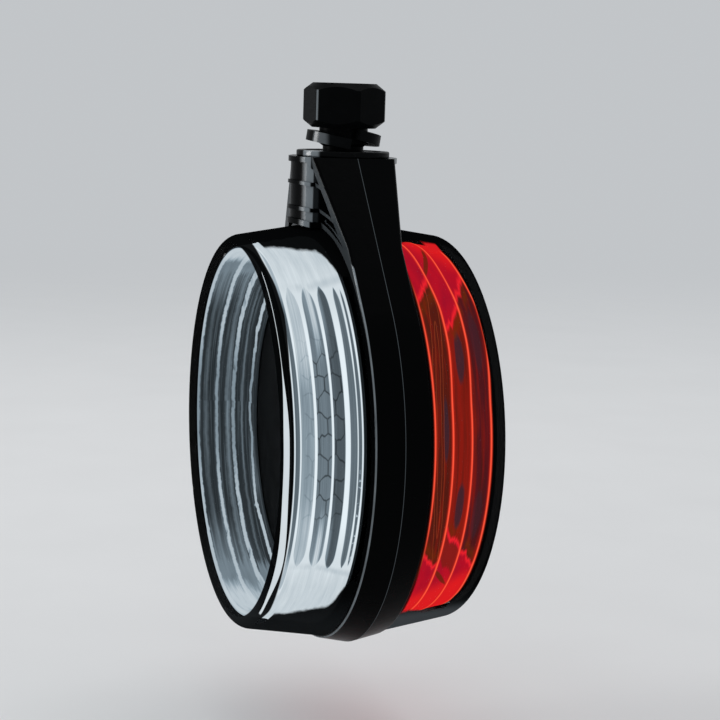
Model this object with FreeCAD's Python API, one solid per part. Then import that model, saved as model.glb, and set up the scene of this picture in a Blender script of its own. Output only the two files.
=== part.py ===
import FreeCAD, Part
import math
import os

# Double-faced marker lamp on a hollow threaded stud.
# Millimetres. +Z runs up the stud and Z = 0 is the seat that meets the bracket.
# The white light faces -Y, the red light faces +Y, and both share one lamp axis along Y.
# Depths are measured along Y from the parting plane, which is Y = 0.

# Housing ring, whose halves meet in the parting plane
ring_seam_radius = 53.1
ring_edge_step = 1.4
ring_half_width = 6.8
ring_edge_round = 0.6
floor_set_back = 3.6
floor_thickness = 1.8
cavity_wall = 8.6

# Neck between the ring and the stud
neck_height = 14.6
neck_top_half_width = 12.0
neck_stand_out = 3.8
neck_foot_depth = 5.9
neck_corner_round = 0.9
neck_border = 4.6
neck_top_bar = 1.3
neck_top_wall = 2.5
window_depth = 3.0
throat_half_depth = 2.4
column_radius = 12.7
column_half_width = 8.2
column_foot_depth = 9.4
collar_stand_out = 0.6
collar_side_step = 0.2
rib_heights = (8.5, 2.3)
rib_bend_radius = 78.0
rib_thickness = 0.9
saddle_rim = 1.1
saddle_gap = 0.3

# Seal in the parting plane
seam_seal_inset = 6.2
seam_seal_width = 1.4
seam_seal_half_height = 0.7
seam_seal_play = 0.02
seam_seal_end_gap = 0.5

# Lens cups
lens_ledge = 0.5
lens_taper = 3.1
lens_height = 20.1
lens_wall = 2.2
lens_foot_wall = 2.6
lens_face_thickness = 1.7
lens_edge_round = 2.8
lens_inner_round = 1.0
lens_lap = 1.0
skirt_thickness = 2.0
skirt_length = 2.7
skirt_gap = 0.2
groove_wall = 2.0
lens_seal_thickness = 1.1

# Light guides: heights of their steps above the guide's base
front_guide_steps = (11.5, 7.5, 4.1, 1.2)
rear_guide_steps = (11.1, 6.3, 1.8)
guide_walls = (1.3, 2.3, 3.8)
guide_base_wall = 7.8
guide_lip = 1.0
guide_lip_thickness = 1.1
guide_side_gap = 0.4
guide_face_gap = 0.3
guide_groove = 0.6

# Lamp boards, what is on them, and the covers over their middles
led_board_thickness = 1.4
led_board_gap = 0.4
led_count = 24
led_stand_in = 4.5
led_length = 3.0
led_width = 2.8
led_height = 0.7
led_guide_gap = 0.3
led_well_radius = 1.05
led_well_depth = 0.2
resistor_count = 8
resistor_circle_radius = 24.0
resistor_length = 3.2
resistor_width = 1.6
resistor_height = 0.6
cover_thickness = 1.2
cover_height = 3.8
cover_rim = 1.4
cover_side_gap = 0.3
cover_lip_gap = 0.2

# Driver board and what is on it, with places measured from the board's middle
driver_board_width = 46.0
driver_board_height = 36.0
driver_board_thickness = 1.6
driver_board_stand = 0.8
driver_board_corner = 3.0
terminal_width = 9.0
terminal_height = 7.6
terminal_rise = 3.4
terminal_edge_gap = 0.2
terminal_entry_radius = 1.1
terminal_entry_depth = 5.0
terminal_screw_radius = 1.0
terminal_screw_depth = 0.8
terminal_pitch = 4.4
coil_width = 7.0
coil_rise = 3.0
coil_inset = 11.0
coil_z = 3.0
coil_corner = 1.6
coil_core_radius = 2.6
coil_ring_width = 0.6
coil_ring_depth = 0.3
capacitor_count = 3
capacitor_width = 2.5
capacitor_length = 3.2
capacitor_pitch = 4.0
capacitor_inset = 10.0
capacitor_z = -3.0
chip_count = 2
chip_width = 3.9
chip_length = 4.9
chip_rise = 1.5
chip_lift = 0.15
chip_pitch = 8.0
chip_x = 2.5
chip_z = 5.0
chip_lead_count = 4
chip_lead_pitch = 1.27
chip_lead_reach = 0.9
chip_lead_width = 0.45
chip_lead_rise = 0.5

# Stud, nut and spring washer: M12 by 1.75
thread_radius = 5.95
thread_pitch = 1.75
thread_depth = 0.95
thread_run_out = 1.05
stud_top = 16.0
stud_bore_radius = 3.25
stud_end_chamfer = 0.8
shoulder_radius = 11.4
shoulder_height = 1.5
shoulder_round = 0.35
shoulder_relief = 0.2
shoulder_relief_radius = 9.4
stud_hex_flats = 16.0
stud_hex_height = 5.5
stud_gap = 0.1
nut_flats = 18.0
nut_height = 10.8
nut_turn = 2.3
nut_corner_radius = 10.1
nut_chamfer_angle = 38.0
nut_face_inset = 1.2
nut_bore_gap = 0.05
nut_countersink = 0.6
washer_bore_gap = 0.4
washer_ring_width = 2.7
washer_thickness = 2.5
washer_rise = 2.6
washer_slot_angle = 12.0
washer_split_angle = -4.0
washer_tilt = 8.5
washer_seat_gap = 0.5
washer_nut_gap = 0.2

# Grommet in the stud's lower end
grommet_bore_radius = 2.2
grommet_seat_radius = 4.5
grommet_seat_depth = 3.5
grommet_flange_radius = 6.0
grommet_flange_thickness = 1.5
grommet_side_gap = 0.05
grommet_flange_gap = 0.2

# Screws
housing_screw_inset = 3.0
housing_screw_count = 6
housing_boss_radius = 3.5
housing_screw_radius = 1.5
housing_screw_head_radius = 2.8
housing_screw_head_height = 1.8
led_screw_inset = 4.5
led_screw_count = 4
led_screw_length = 4.6
small_screw_radius = 1.1
small_screw_head_radius = 2.1
small_screw_head_height = 1.3
small_boss_radius = 2.6
driver_screw_inset = 4.0
screw_head_round = 0.55
screw_recess_length = 3.1
screw_recess_width = 0.6
screw_recess_depth = 0.8
screw_end_gap = 0.2
blind_wall = 0.4
boss_end_wall = 0.6
thread_play = 0.05
hole_play = 0.15

# Pins that carry the supply from the driver board to each lamp board
pin_count = 4
pin_pitch = 2.54
pin_width = 0.64
pin_row_x = 9.0
pin_row_drop = 12.0
pin_stick_out = 1.0
pin_tail = 0.4
pin_hole_radius = 0.55
pin_pass_radius = 1.1

# How far a cutting tool runs past what it cuts, and how near counts as the same place
beyond = 1.0
touch = 0.01

front = -1
rear = 1

# Radii about the lamp axis
ring_edge_radius = ring_seam_radius - ring_edge_step
draft = ring_edge_step / ring_half_width
cavity_radius = ring_seam_radius - cavity_wall
lens_base_radius = ring_edge_radius - lens_ledge
lens_face_radius = lens_base_radius - lens_taper
lens_foot_bore = lens_base_radius - lens_foot_wall
lens_face_bore = lens_face_radius - lens_wall
skirt_outer = lens_base_radius - lens_lap
skirt_inner = skirt_outer - skirt_thickness
groove_outer = skirt_outer + skirt_gap
groove_inner = skirt_inner - skirt_gap
board_recess_radius = groove_inner - groove_wall
guide_face_radius = lens_face_bore - guide_side_gap
guide_base_bore = guide_face_radius - guide_base_wall
led_circle_radius = guide_base_bore + led_stand_in
led_screw_circle = guide_base_bore - led_screw_inset
housing_screw_circle = cavity_radius - housing_screw_inset

# Depths from the parting plane
floor_depth = ring_half_width - floor_set_back
floor_face = floor_depth + floor_thickness
board_face = floor_face + led_board_thickness
guide_base = board_face + led_height + led_guide_gap
cover_top = board_face + cover_height
lens_reach = ring_half_width + lens_height
lens_inside = lens_reach - lens_face_thickness
guide_top = lens_inside - guide_face_gap
skirt_end = ring_half_width - skirt_length
groove_floor = skirt_end - lens_seal_thickness
neck_half_depth = ring_half_width + neck_stand_out
collar_radius = column_radius + collar_stand_out
collar_clearance = collar_radius + beyond
driver_low = floor_depth - driver_board_stand
driver_high = driver_low - driver_board_thickness
housing_screw_seat = floor_face - housing_screw_head_height - hole_play
led_screw_end = board_face - led_screw_length - screw_end_gap

# Heights
neck_top = -shoulder_height
ring_top = neck_top - neck_height
lamp_axis_drop = ring_seam_radius - ring_top
neck_foot = ring_top - neck_foot_depth
hex_top = neck_top - neck_top_wall
hex_bottom = hex_top - stud_hex_height
cavity_top = hex_bottom - grommet_flange_thickness

V = FreeCAD.Vector
LAMP_CENTRE = V(0, 0, -lamp_axis_drop)
LAMP_AXIS = V(0, 1, 0)
STUD_AXIS = V(0, 0, 1)


def whole(shape):
    """The shape as one outward-facing solid where it is one, or as it is."""
    solid = shape.Solids[0] if len(shape.Solids) == 1 else shape
    if solid.Volume < 0:
        solid.reverse()
    return solid


def polygon_face(corners):
    return Part.Face(Part.makePolygon(corners + corners[:1]))


def about_lamp_axis(outline, side):
    """Turned solid from (radius, depth) corners, on one side of the parting plane."""
    corners = [LAMP_CENTRE + V(radius, side * depth, 0) for radius, depth in outline]
    return whole(polygon_face(corners).revolve(LAMP_CENTRE, LAMP_AXIS, 360))


def about_stud_axis(outline):
    """Turned solid from (radius, height) corners."""
    corners = [V(radius, 0, height) for radius, height in outline]
    return whole(polygon_face(corners).revolve(V(0, 0, 0), STUD_AXIS, 360))


def ring_band(inner, outer, low, high, side):
    """A plain ring about the lamp axis between two radii and two depths."""
    return about_lamp_axis([(inner, low), (outer, low), (outer, high), (inner, high)], side)


def rod(radius, x, z, low, high, side):
    """A round bar along Y at (x, z), between two depths on one side."""
    start = V(x, side * low, z)
    return Part.makeCylinder(radius, high - low, start, V(0, side, 0))


def post(radius, low, high):
    """A round bar on the stud axis between two heights."""
    return Part.makeCylinder(radius, high - low, V(0, 0, low))


def block(x, y, z):
    """A box between the two values of each of x, y and z."""
    low = V(min(x), min(y), min(z))
    return Part.makeBox(abs(x[1] - x[0]), abs(y[1] - y[0]), abs(z[1] - z[0]), low)


def hexagon(flats, low, high, turn=0.0):
    """A hexagonal bar along the stud axis, with a corner at the angle turn."""
    corner = flats / math.sqrt(3)
    angles = [math.radians(turn + 60 * step) for step in range(6)]
    corners = [V(corner * math.cos(a), corner * math.sin(a), low) for a in angles]
    return polygon_face(corners).extrude(V(0, 0, high - low))


def on_lamp_circle(radius, degrees):
    """The x and z of a point on a circle about the lamp axis."""
    angle = math.radians(degrees)
    return radius * math.cos(angle), radius * math.sin(angle) - lamp_axis_drop


def round_edges(shape, size, wanted):
    """Rounds the edges for which wanted(edge) is true."""
    edges = [edge for edge in shape.Edges if wanted(edge)]
    return whole(shape.makeFillet(size, edges))


def circle_at(radius, depth, side):
    """A test for the round edge of this radius and depth about the lamp axis."""
    def wanted(edge):
        curve = edge.Curve
        if not isinstance(curve, Part.Circle):
            return False
        return abs(curve.Radius - radius) < touch and abs(curve.Center.y - side * depth) < touch
    return wanted


def runs_along_y(edge):
    ends = [vertex.Point for vertex in edge.Vertexes]
    return abs(ends[0].y - ends[-1].y) > touch


# Housing halves

def flare_angle():
    """Angle of the neck's flank, which is tangent to the ring."""
    rise = lamp_axis_drop + neck_top
    reach = math.hypot(neck_top_half_width, rise)
    return math.atan2(rise, neck_top_half_width) - math.acos(ring_seam_radius / reach)


def flank_x(inset, z):
    """Half-width of the neck at the height z, drawn in by inset across the flank."""
    angle = flare_angle()
    return (ring_seam_radius - inset - (z + lamp_axis_drop) * math.sin(angle)) / math.cos(angle)


def neck_outline(inset, depth, top, side):
    """Closed wire of the neck and its flanks down to the ring's centre, at one depth."""
    angle = flare_angle()
    radius = ring_seam_radius - inset
    y = side * depth
    touch_x = radius * math.cos(angle)
    touch_z = radius * math.sin(angle) - lamp_axis_drop
    top_x = flank_x(inset, top)
    corners = [V(0, y, -lamp_axis_drop), V(touch_x, y, touch_z), V(top_x, y, top),
               V(-top_x, y, top), V(-touch_x, y, touch_z)]
    return Part.makePolygon(corners + corners[:1])


def neck_prism(inset, low, high, top, side):
    """Straight-sided slab of the neck's outline between two depths."""
    face = Part.Face(neck_outline(inset, low, top, side))
    return whole(face.extrude(V(0, side * (high - low), 0)))


def drafted_neck(set_back, side):
    """Neck with drafted flanks and a leaning face that lies set_back behind the outer one."""
    far = neck_half_depth + beyond
    wires = [neck_outline(draft * depth, depth, neck_top, side) for depth in (0, far)]
    body = Part.makeLoft(wires, True, True)
    top_y = side * (neck_half_depth - set_back)
    foot_y = side * (ring_half_width - set_back)
    left = -(ring_seam_radius + beyond)
    corners = [V(left, 0, neck_top), V(left, top_y, neck_top), V(left, foot_y, neck_foot),
               V(left, foot_y, -lamp_axis_drop), V(left, 0, -lamp_axis_drop)]
    allowed = polygon_face(corners).extrude(V(-2 * left, 0, 0))
    return whole(body.common(allowed))


def is_flank_corner(side):
    """A test for the neck's sloping outer corners, where the face meets a flank."""
    def on_flank(point):
        return abs(abs(point.x) - flank_x(draft * side * point.y, point.z)) < touch

    def wanted(edge):
        ends = [vertex.Point for vertex in edge.Vertexes]
        outside = all(side * point.y > ring_half_width - touch for point in ends)
        one_flank = ends[0].x * ends[-1].x > 0
        return len(ends) == 2 and outside and one_flank and all(on_flank(point) for point in ends)
    return wanted


def column(radius, half_width, side):
    """Round column down the middle of the neck, as wide as half_width each way."""
    bottom = ring_top - column_foot_depth
    keep = block((-half_width, half_width), (0, side * radius), (bottom, neck_top))
    return post(radius, bottom, neck_top).common(keep)


def arch(radius, top, side):
    """A round bar across the neck, with its highest line at the height top."""
    return rod(radius, 0, top - radius, 0, collar_clearance, side)


def windows(side):
    """The recesses in the neck's face, with ribs left standing between them."""
    saddle_radius = ring_edge_radius + saddle_rim
    floors = [arch(saddle_radius, saddle_radius - lamp_axis_drop, side)]
    outline = neck_prism(neck_border, 0, collar_clearance, neck_top - neck_top_bar, side)
    backing = drafted_neck(window_depth, side).fuse(column(column_radius, column_half_width, side))
    room = outline.cut(backing)
    cuts = []
    for height in sorted(rib_heights):
        middle = ring_top + height
        under = arch(rib_bend_radius - rib_thickness / 2, middle - rib_thickness / 2, side)
        cuts.append(room.common(under).cut(floors[-1]))
        floors.append(arch(rib_bend_radius + rib_thickness / 2, middle + rib_thickness / 2, side))
    cuts.append(room.cut(floors[-1]))
    return cuts


def housing_outside(side):
    """Outer form of one half: ring, neck, column and recessed windows."""
    ring = about_lamp_axis([(0, 0), (ring_seam_radius, 0), (ring_edge_radius, ring_half_width),
                            (0, ring_half_width)], side)
    ring = round_edges(ring, ring_edge_round, circle_at(ring_edge_radius, ring_half_width, side))
    neck = round_edges(drafted_neck(0, side), neck_corner_round, is_flank_corner(side))
    collar = column(collar_radius, column_half_width + collar_side_step, side)
    body = neck.fuse(collar)
    for window in windows(side):
        body = body.cut(window)
    saddle = ring_band(0, lens_base_radius + saddle_gap, ring_half_width, collar_clearance, side)
    return body.cut(saddle).fuse(ring)


def housing_screw_places():
    return [on_lamp_circle(housing_screw_circle, 360 / housing_screw_count * step)
            for step in range(housing_screw_count)]


def led_screw_places():
    return [on_lamp_circle(led_screw_circle, 360 / led_screw_count * (step + 0.5))
            for step in range(led_screw_count)]


def driver_screw_places():
    x = driver_board_width / 2 - driver_screw_inset
    z = driver_board_height / 2 - driver_screw_inset
    return [(sx * x, sz * z - lamp_axis_drop) for sx in (-1, 1) for sz in (-1, 1)]


def pin_places(side):
    """The pins to the white light stand at -X and those to the red light at +X."""
    first = -(pin_count - 1) / 2
    z = -lamp_axis_drop - pin_row_drop
    return [(side * pin_row_x + (first + step) * pin_pitch, z) for step in range(pin_count)]


def cavity(side):
    """Space between the two floors, open to the neck, without the bosses that stand in it."""
    space = ring_band(0, cavity_radius, 0, floor_depth, side)
    space = space.fuse(neck_prism(cavity_wall, 0, throat_half_depth, cavity_top, side))
    for x, z in housing_screw_places():
        space = space.cut(rod(housing_boss_radius, x, z, 0, floor_depth, side))
    for x, z in led_screw_places():
        space = space.cut(rod(small_boss_radius, x, z, led_screw_end - boss_end_wall, floor_depth, side))
    if side == front:
        for x, z in driver_screw_places():
            space = space.cut(rod(small_boss_radius, x, z, driver_low, floor_depth, side))
    return space


def stud_pocket():
    """Room for the stud's shank and hexagon, and for the grommet's flange below it."""
    low = cavity_top - stud_gap
    shank = post(thread_radius + stud_gap, hex_top - beyond, neck_top + beyond)
    head = hexagon(stud_hex_flats + 2 * stud_gap, hex_bottom - stud_gap, hex_top)
    flange = post(grommet_flange_radius + grommet_flange_gap, low, hex_bottom)
    return shank.fuse(head).fuse(flange)


def seam_seal_body(grow):
    """Seal in the parting plane round the cavity, with its open ends at the stud."""
    height = seam_seal_half_height + grow
    shapes = []
    for inset in (seam_seal_inset - grow, seam_seal_inset + seam_seal_width + grow):
        ring = ring_band(0, ring_seam_radius - inset, -height, height, rear)
        flanks = neck_prism(inset, -height, height, hex_bottom, rear)
        shapes.append(ring.fuse(flanks))
    band = shapes[0].cut(shapes[1])
    ends = hex_bottom - seam_seal_end_gap + grow
    clear = block((-ring_seam_radius, ring_seam_radius), (-floor_depth, floor_depth), (ends, 0))
    return band.cut(clear)


def screw_hole(radius, x, z, low, high, side):
    """A round hole for a screw, with its open end run past the depth high."""
    return rod(radius, x, z, low, high + beyond, side)


def housing_half(side):
    body = housing_outside(side)
    recess_top = neck_half_depth + beyond
    wall = ring_band(board_recess_radius, groove_inner, floor_depth, guide_base, side)
    recess = ring_band(0, board_recess_radius, floor_face, recess_top, side)
    groove = ring_band(groove_inner, groove_outer, groove_floor, recess_top, side)
    body = body.fuse(wall).cut(recess).cut(groove).cut(cavity(side))
    body = body.cut(stud_pocket()).cut(seam_seal_body(seam_seal_play))
    for x, z in housing_screw_places():
        if side == front:
            through = screw_hole(housing_screw_radius + hole_play, x, z, -beyond, floor_face, side)
            head = screw_hole(housing_screw_head_radius + hole_play, x, z, housing_screw_seat,
                              floor_face, side)
            body = body.cut(through.fuse(head))
        else:
            body = body.cut(rod(housing_screw_radius + thread_play, x, z, -beyond,
                                floor_face - blind_wall, side))
    for x, z in led_screw_places():
        body = body.cut(screw_hole(small_screw_radius + thread_play, x, z, led_screw_end,
                                   floor_face, side))
    for x, z in pin_places(side):
        body = body.cut(rod(pin_pass_radius, x, z, floor_depth - beyond, floor_face + beyond, side))
    if side == front:
        for x, z in driver_screw_places():
            body = body.cut(rod(small_screw_radius + thread_play, x, z, driver_low - beyond,
                                floor_face - blind_wall, side))
    return whole(body.removeSplitter())


# Lens cups, their seals and the light guides

def lens_bore(depth):
    """Inside radius of the lens wall at a depth."""
    share = (depth - ring_half_width) / (lens_inside - ring_half_width)
    return lens_foot_bore + share * (lens_face_bore - lens_foot_bore)


def lens(side):
    """Cup with a flat face, drafted wall, and a skirt that sits in the housing's groove."""
    outline = [(0, lens_reach), (lens_face_radius, lens_reach), (lens_base_radius, ring_half_width),
               (skirt_outer, ring_half_width), (skirt_outer, skirt_end), (skirt_inner, skirt_end),
               (skirt_inner, ring_half_width), (lens_bore(guide_base), guide_base),
               (lens_face_bore, lens_inside), (0, lens_inside)]
    cup = about_lamp_axis(outline, side)
    cup = round_edges(cup, lens_edge_round, circle_at(lens_face_radius, lens_reach, side))
    return round_edges(cup, lens_inner_round, circle_at(lens_face_bore, lens_inside, side))


def lens_seal(side):
    return ring_band(skirt_inner, skirt_outer, groove_floor, skirt_end, side)


def light_guide(steps, side):
    """Clear ring whose bore steps inwards from the face to the board, with a groove per step."""
    lip_low = cover_top + cover_lip_gap
    lip_high = lip_low + guide_lip_thickness
    bores = [guide_face_radius - wall for wall in guide_walls]
    inner = [(bores[0], guide_top)]
    for height, wide, narrow in zip(steps, bores, bores[1:]):
        inner += [(wide, guide_base + height), (narrow, guide_base + height)]
    inner += [(bores[-1], lip_high), (guide_base_bore - guide_lip, lip_high),
              (guide_base_bore - guide_lip, lip_low), (guide_base_bore, lip_low),
              (guide_base_bore, guide_base)]
    outer = [(lens_bore(guide_base) - guide_side_gap, guide_base)]
    for height in reversed(steps):
        depth = guide_base + height
        edge = lens_bore(depth) - guide_side_gap
        outer += [(edge, depth - guide_groove), (edge - guide_groove, depth),
                  (edge, depth + guide_groove)]
    outer += [(lens_bore(guide_top) - guide_side_gap, guide_top)]
    return about_lamp_axis(inner + outer, side)


# Boards, lamps and the covers over their middles

def led_board(side):
    board = ring_band(0, board_recess_radius - led_board_gap, floor_face, board_face, side)
    for x, z in led_screw_places():
        board = board.cut(screw_hole(small_screw_radius + hole_play, x, z, floor_depth, board_face, side))
    for x, z in pin_places(side):
        board = board.cut(screw_hole(pin_hole_radius, x, z, floor_depth, board_face, side))
    return whole(board)


def ring_of_copies(shape, count):
    """Copies of the shape, evenly turned about the lamp axis, half a step from +X."""
    copies = []
    for step in range(count):
        copy = shape.copy()
        copy.rotate(LAMP_CENTRE, LAMP_AXIS, 360 / count * (step + 0.5))
        copies.append(copy)
    return Part.makeCompound(copies)


def chip_on_board(radius, along, across, height, side):
    """A chip on a lamp board, across at the radius and along the circle."""
    y = (side * board_face, side * (board_face + height))
    middle = -lamp_axis_drop
    return block((radius - across / 2, radius + across / 2), y, (middle - along / 2, middle + along / 2))


def leds(side):
    """Lamp packages, each with a shallow round well for its lens gel."""
    package = chip_on_board(led_circle_radius, led_length, led_width, led_height, side)
    top = board_face + led_height
    well = rod(led_well_radius, led_circle_radius, -lamp_axis_drop, top - led_well_depth,
               top + beyond, side)
    return ring_of_copies(whole(package.cut(well)), led_count)


def resistors(side):
    package = chip_on_board(resistor_circle_radius, resistor_length, resistor_width,
                            resistor_height, side)
    return ring_of_copies(package, resistor_count)


def centre_cover(side):
    """Dark dished disc over the middle of the lamp board."""
    outer = guide_base_bore - cover_side_gap
    inner = outer - cover_rim
    under = cover_top - cover_thickness
    return about_lamp_axis([(0, under), (inner, under), (inner, board_face), (outer, board_face),
                            (outer, cover_top), (0, cover_top)], side)


def driver_board():
    """Board on four posts of the front half, with its parts towards the rear."""
    half_x = driver_board_width / 2
    half_z = driver_board_height / 2
    y = (front * driver_low, front * driver_high)
    board = block((-half_x, half_x), y, (-half_z - lamp_axis_drop, half_z - lamp_axis_drop))
    board = round_edges(board, driver_board_corner, runs_along_y)
    for x, z in driver_screw_places():
        board = board.cut(rod(small_screw_radius + hole_play, x, z, 0, floor_depth, front))
    for side in (front, rear):
        for x, z in pin_places(side):
            board = board.cut(rod(pin_hole_radius, x, z, 0, floor_depth, front))
    return whole(board)


def on_driver_board(x, z, width, height, rise):
    """A block on the rear face of the driver board, centred at x and z from its middle."""
    y = front * driver_high
    middle = z - lamp_axis_drop
    return block((x - width / 2, x + width / 2), (y, y + rise), (middle - height / 2, middle + height / 2))


def supply_terminal():
    """Two-way terminal at the board's top edge, with round entries that face the neck."""
    top = driver_board_height / 2 - terminal_edge_gap
    middle = top - terminal_height / 2
    face = front * driver_high + terminal_rise
    body = on_driver_board(0, middle, terminal_width, terminal_height, terminal_rise)
    for x in (-terminal_pitch / 2, terminal_pitch / 2):
        mouth = V(x, face - terminal_rise / 2, top - lamp_axis_drop + beyond)
        entry = Part.makeCylinder(terminal_entry_radius, terminal_entry_depth + beyond, mouth, -STUD_AXIS)
        head = V(x, face - terminal_screw_depth, middle - lamp_axis_drop)
        well = Part.makeCylinder(terminal_screw_radius, terminal_screw_depth + beyond, head, LAMP_AXIS)
        body = body.cut(entry).cut(well)
    return whole(body)


def driver_coil():
    """Shielded choke: a square body with rounded corners and a round core in its top."""
    x = coil_inset - driver_board_width / 2
    body = on_driver_board(x, coil_z, coil_width, coil_width, coil_rise)
    body = round_edges(body, coil_corner, runs_along_y)
    low = V(x, front * driver_high + coil_rise - coil_ring_depth, coil_z - lamp_axis_drop)
    ring = Part.makeCylinder(coil_core_radius, coil_ring_depth, low, LAMP_AXIS)
    core = Part.makeCylinder(coil_core_radius - coil_ring_width, coil_ring_depth, low, LAMP_AXIS)
    return whole(body.cut(ring.cut(core)))


def in_row(count, pitch, middle):
    """Places in a row, evenly spaced about its middle."""
    return [middle + pitch * (step - (count - 1) / 2) for step in range(count)]


def driver_capacitors():
    middle = driver_board_width / 2 - capacitor_inset
    return Part.makeCompound([
        on_driver_board(x, capacitor_z, capacitor_width, capacitor_length, capacitor_width)
        for x in in_row(capacitor_count, capacitor_pitch, middle)])


def driver_chip(x):
    """A control chip on leads that stand out of its long sides."""
    body = on_driver_board(x, chip_z, chip_width, chip_length, chip_rise)
    body = body.cut(on_driver_board(x, chip_z, chip_width, chip_length, chip_lift))
    for z in in_row(chip_lead_count, chip_lead_pitch, chip_z):
        leads = on_driver_board(x, z, chip_width + 2 * chip_lead_reach, chip_lead_width, chip_lead_rise)
        body = body.fuse(leads)
    return whole(body.removeSplitter())


def driver_chips():
    return Part.makeCompound([driver_chip(x) for x in in_row(chip_count, chip_pitch, chip_x)])


def link_pins(side):
    """Square pins soldered into the driver board and into one lamp board."""
    half = pin_width / 2
    start = driver_low + pin_tail if side == rear else driver_high - pin_tail
    y = (front * start, side * (board_face + pin_stick_out))
    pins = [block((x - half, x + half), y, (z - half, z + half)) for x, z in pin_places(side)]
    return Part.makeCompound(pins)


# Screws

def cross_recess(head_top, x, z, side):
    """Cross-shaped drive recess, cut inwards from the top of a screw head."""
    long = screw_recess_length / 2
    half = screw_recess_width / 2
    y = (side * (head_top - screw_recess_depth), side * (head_top + beyond))
    upright = block((x - half, x + half), y, (z - long, z + long))
    level = block((x - long, x + long), y, (z - half, z + half))
    return upright.fuse(level)


def screw(x, z, seat, end, radius, head_radius, head_height, side):
    """Pan-head screw with its head on the depth seat and its point at the depth end."""
    shank = rod(radius, x, z, end, seat, side)
    top = seat + head_height
    head = rod(head_radius, x, z, seat, top, side)
    head = round_edges(head, min(screw_head_round, head_height / 2), circle_at(head_radius, top, side))
    return whole(shank.fuse(head.cut(cross_recess(top, x, z, side))))


def housing_screws():
    end = blind_wall + screw_end_gap - floor_face
    return Part.makeCompound([
        screw(x, z, housing_screw_seat, end, housing_screw_radius, housing_screw_head_radius,
              housing_screw_head_height, front) for x, z in housing_screw_places()])


def led_board_screws():
    return Part.makeCompound([
        screw(x, z, board_face, led_screw_end + screw_end_gap, small_screw_radius,
              small_screw_head_radius, small_screw_head_height, side)
        for side in (front, rear) for x, z in led_screw_places()])


def driver_board_screws():
    """These point forwards into the front half, so their heads face the rear."""
    end = blind_wall + screw_end_gap - floor_face
    return Part.makeCompound([
        screw(x, z, -driver_high, end, small_screw_radius, small_screw_head_radius,
              small_screw_head_height, rear) for x, z in driver_screw_places()])


# Stud, nut, spring washer and grommet

def thread_groove():
    """The helical groove of the stud's thread, swept as one V-shaped tool."""
    length = stud_top + 2 * thread_pitch
    helix = Part.makeHelix(thread_pitch, length, thread_radius)
    root = thread_radius - thread_depth
    outside = thread_radius + stud_gap
    root_half = thread_pitch / 16
    crest = thread_pitch / 8
    slope = ((thread_pitch - crest) / 2 - root_half) / thread_depth
    outside_half = root_half + slope * (outside - root)
    corners = [V(outside, 0, -outside_half), V(outside, 0, outside_half),
               V(root, 0, root_half), V(root, 0, -root_half)]
    profile = Part.makePolygon(corners + corners[:1])
    tool = Part.Wire(helix.Edges).makePipeShell([profile], True, True)
    tool.translate(V(0, 0, thread_pitch))
    return tool


def hollow_stud():
    """Turned stud: thread, flange that seats on the bracket, and hexagon held in the neck."""
    root = thread_radius - thread_depth
    outline = [(0, hex_bottom), (thread_radius, hex_bottom), (thread_radius, neck_top),
               (shoulder_radius, neck_top), (shoulder_radius, 0), (shoulder_relief_radius, 0),
               (shoulder_relief_radius, -shoulder_relief), (root, -shoulder_relief),
               (root, thread_run_out), (thread_radius, thread_pitch),
               (thread_radius, stud_top - stud_end_chamfer),
               (thread_radius - stud_end_chamfer, stud_top), (0, stud_top)]
    body = about_stud_axis(outline)

    def is_flange_rim(edge):
        curve = edge.Curve
        return isinstance(curve, Part.Circle) and abs(curve.Radius - shoulder_radius) < touch

    body = round_edges(body, shoulder_round, is_flange_rim).cut(thread_groove())
    body = body.fuse(hexagon(stud_hex_flats, hex_bottom, hex_top))
    bore = post(stud_bore_radius, hex_bottom - beyond, stud_top + beyond)
    seat = post(grommet_seat_radius, hex_bottom, hex_bottom + grommet_seat_depth)
    return whole(body.cut(bore).cut(seat))


def cable_grommet():
    """Rubber bush in the stud's lower end, which the supply cable passes through."""
    outer = grommet_seat_radius - grommet_side_gap
    top = hex_bottom + grommet_seat_depth
    return about_stud_axis([(grommet_bore_radius, cavity_top), (grommet_flange_radius, cavity_top),
                            (grommet_flange_radius, hex_bottom), (outer, hex_bottom),
                            (outer, top), (grommet_bore_radius, top)])


def spring_washer():
    """Split lock washer with a left-hand twist, still sprung open and tilted on the stud."""
    inner = thread_radius + washer_bore_gap
    outer = inner + washer_ring_width
    half = washer_thickness / 2
    pitch = washer_rise * 360 / (360 - washer_slot_angle)
    helix = Part.makeHelix(pitch, washer_rise, (inner + outer) / 2, 0, True)
    corners = [V(inner, 0, -half), V(outer, 0, -half), V(outer, 0, half), V(inner, 0, half)]
    profile = Part.makePolygon(corners + corners[:1])
    ring = whole(Part.Wire(helix.Edges).makePipeShell([profile], True, True))
    ring.translate(V(0, 0, -washer_rise / 2))
    ring.rotate(V(0, 0, 0), STUD_AXIS, washer_split_angle)
    ring.rotate(V(0, 0, 0), V(1, 0, 0), -washer_tilt)
    ring.translate(V(0, 0, washer_seat_gap - ring.optimalBoundingBox(False, False).ZMin))
    return ring


def hex_nut(seat):
    """Hexagon nut on the height seat, its corners turned off and chamfered, its bore countersunk."""
    top = seat + nut_height
    nut = hexagon(nut_flats, seat, top, nut_turn)
    face_radius = nut_flats / 2 - nut_face_inset
    drop = (nut_corner_radius - face_radius) * math.tan(math.radians(nut_chamfer_angle))
    barrel = about_stud_axis([(0, seat), (face_radius, seat), (nut_corner_radius, seat + drop),
                              (nut_corner_radius, top - drop), (face_radius, top), (0, top)])
    bore = thread_radius + nut_bore_gap
    mouth = bore + nut_countersink + beyond
    hole = about_stud_axis([(0, seat - beyond), (mouth, seat - beyond), (bore, seat + nut_countersink),
                            (bore, top - nut_countersink), (mouth, top + beyond), (0, top + beyond)])
    return whole(nut.common(barrel).cut(hole))


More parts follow.
